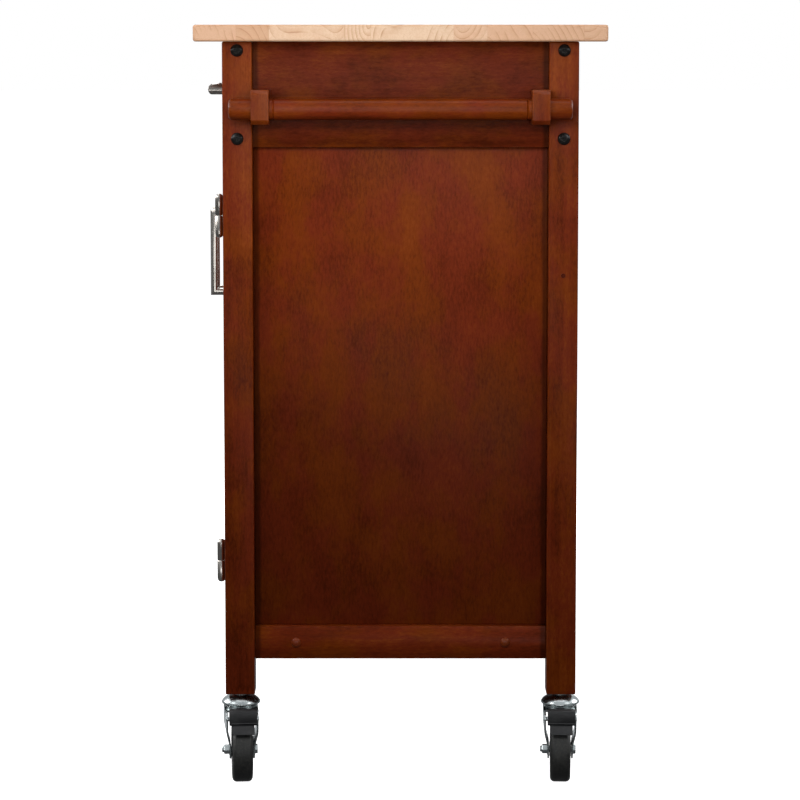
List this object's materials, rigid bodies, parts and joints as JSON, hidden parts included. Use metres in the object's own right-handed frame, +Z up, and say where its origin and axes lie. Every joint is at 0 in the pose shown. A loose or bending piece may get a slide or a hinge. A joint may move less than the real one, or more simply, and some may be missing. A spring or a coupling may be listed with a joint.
{
  "type": "kitchen island cart",
  "caption": "Kitchen island cart: stained wooden cabinet with drawers, paired doors and an open bay under a light wooden worktop, with a towel bar and braked swivel casters.",
  "frame": {"origin": "centre of the whole cart's footprint on the floor", "axes": "+X along the length towards the towel-bar end, -Y towards the drawers and doors, +Z up"},
  "size_m": [0.929, 0.468, 0.87],
  "materials": {
    "stained_wood": "reddish-brown stain under satin lacquer",
    "top_wood": "oiled natural hardwood in glued staves",
    "plain_wood": "unfinished light wood",
    "nickel": "brushed nickel plate",
    "zinc": "bright zinc plate",
    "black_steel": "black oxide, slightly glossy",
    "black_plastic": "moulded nylon",
    "tyre": "dark grey-black moulded rubber"
  },
  "bodies": {
    "cabinet": {"back_apron": "stained_wood", "back_panel": "stained_wood", "back_rail": "stained_wood", "bolt_back_lower": "black_steel", "bolt_back_upper": "black_steel", "bolt_front_lower": "black_steel", "bolt_front_upper": "black_steel", "cabinet_shelf": "stained_wood", "centre_divider": "stained_wood", "centre_stile": "stained_wood", "drawer_rail": "stained_wood", "end_apron_left": "stained_wood", "end_apron_right": "stained_wood", "end_panel_left": "stained_wood", "end_panel_right": "stained_wood", "end_rail_left": "stained_wood", "end_rail_right": "stained_wood", "floor_panel": "stained_wood", "front_rail": "stained_wood", "hinge_left_lower_frame_leaf": "nickel", "hinge_left_upper_frame_leaf": "nickel", "hinge_right_lower_frame_leaf": "nickel", "hinge_right_upper_frame_leaf": "nickel", "leg_back_left": "stained_wood", "leg_back_right": "stained_wood", "leg_front_left": "stained_wood", "leg_front_right": "stained_wood", "open_shelf": "stained_wood", "towel_bar": "stained_wood", "towel_bracket_back": "stained_wood", "towel_bracket_front": "stained_wood", "worktop": "top_wood"},
    "caster_back_left_fork": {"caster_back_left_fork": "zinc"},
    "caster_back_left_pedal": {"caster_back_left_pedal": "black_plastic"},
    "caster_back_left_wheel": {"caster_back_left_wheel": "tyre"},
    "caster_back_right_fork": {"caster_back_right_fork": "zinc"},
    "caster_back_right_pedal": {"caster_back_right_pedal": "black_plastic"},
    "caster_back_right_wheel": {"caster_back_right_wheel": "tyre"},
    "caster_front_left_fork": {"caster_front_left_fork": "zinc"},
    "caster_front_left_pedal": {"caster_front_left_pedal": "black_plastic"},
    "caster_front_left_wheel": {"caster_front_left_wheel": "tyre"},
    "caster_front_right_fork": {"caster_front_right_fork": "zinc"},
    "caster_front_right_pedal": {"caster_front_right_pedal": "black_plastic"},
    "caster_front_right_wheel": {"caster_front_right_wheel": "tyre"},
    "door_left": {"door_left_frame": "stained_wood", "door_left_panel": "stained_wood", "door_left_pull": "nickel", "hinge_left_lower_door_leaf": "nickel", "hinge_left_upper_door_leaf": "nickel"},
    "door_right": {"door_right_frame": "stained_wood", "door_right_panel": "stained_wood", "door_right_pull": "nickel", "hinge_right_lower_door_leaf": "nickel", "hinge_right_upper_door_leaf": "nickel"},
    "drawer_left": {"drawer_left_box": "plain_wood", "drawer_left_front": "stained_wood", "drawer_left_pull": "nickel"},
    "drawer_right": {"drawer_right_box": "plain_wood", "drawer_right_front": "stained_wood", "drawer_right_pull": "nickel"}
  },
  "joints": [
    {"name": "drawer_right_slide", "type": "slide", "parent": "cabinet", "child": "drawer_right", "axis": [0, -1, 0], "range_m": [0, 0.28]},
    {"name": "drawer_left_slide", "type": "slide", "parent": "cabinet", "child": "drawer_left", "axis": [0, -1, 0], "range_m": [0, 0.28]},
    {"name": "door_right_hinge", "type": "hinge", "parent": "cabinet", "child": "door_right", "pos_m": [0.38029, -0.2085, 0.449], "axis": [0, 0, 1], "range_deg": [0, 170]},
    {"name": "door_left_hinge", "type": "hinge", "parent": "cabinet", "child": "door_left", "pos_m": [0.00379, -0.2085, 0.449], "axis": [0, 0, -1], "range_deg": [0, 170]},
    {"name": "caster_front_right_swivel", "type": "hinge", "parent": "cabinet", "child": "caster_front_right_fork", "pos_m": [0.39854, -0.1855, 0.0985], "axis": [0, 0, 1], "continuous": true},
    {"name": "caster_front_right_spin", "type": "hinge", "parent": "caster_front_right_fork", "child": "caster_front_right_wheel", "pos_m": [0.42643, -0.18306, 0.0375], "axis": [-0.0872, 0.9962, 0], "continuous": true},
    {"name": "caster_front_right_brake", "type": "hinge", "parent": "caster_front_right_fork", "child": "caster_front_right_pedal", "pos_m": [0.44436, -0.18149, 0.077], "axis": [-0.0872, 0.9962, 0], "range_deg": [0, 12]},
    {"name": "caster_front_left_swivel", "type": "hinge", "parent": "cabinet", "child": "caster_front_left_fork", "pos_m": [-0.42746, -0.1855, 0.0985], "axis": [0, 0, 1], "continuous": true},
    {"name": "caster_front_left_spin", "type": "hinge", "parent": "caster_front_left_fork", "child": "caster_front_left_wheel", "pos_m": [-0.39946, -0.1855, 0.0375], "axis": [0, 1, 0], "continuous": true},
    {"name": "caster_front_left_brake", "type": "hinge", "parent": "caster_front_left_fork", "child": "caster_front_left_pedal", "pos_m": [-0.38146, -0.1855, 0.077], "axis": [0, 1, 0], "range_deg": [0, 12]},
    {"name": "caster_back_right_swivel", "type": "hinge", "parent": "cabinet", "child": "caster_back_right_fork", "pos_m": [0.39854, 0.1855, 0.0985], "axis": [0, 0, 1], "continuous": true},
    {"name": "caster_back_right_spin", "type": "hinge", "parent": "caster_back_right_fork", "child": "caster_back_right_wheel", "pos_m": [0.42651, 0.18428, 0.0375], "axis": [0.0436, 0.999, 0], "continuous": true},
    {"name": "caster_back_right_brake", "type": "hinge", "parent": "caster_back_right_fork", "child": "caster_back_right_pedal", "pos_m": [0.44449, 0.18349, 0.077], "axis": [0.0436, 0.999, 0], "range_deg": [0, 12]},
    {"name": "caster_back_left_swivel", "type": "hinge", "parent": "cabinet", "child": "caster_back_left_fork", "pos_m": [-0.42746, 0.1855, 0.0985], "axis": [0, 0, 1], "continuous": true},
    {"name": "caster_back_left_spin", "type": "hinge", "parent": "caster_back_left_fork", "child": "caster_back_left_wheel", "pos_m": [-0.39946, 0.1855, 0.0375], "axis": [0, 1, 0], "continuous": true},
    {"name": "caster_back_left_brake", "type": "hinge", "parent": "caster_back_left_fork", "child": "caster_back_left_pedal", "pos_m": [-0.38146, 0.1855, 0.077], "axis": [0, 1, 0], "range_deg": [0, 12]}
  ]
}
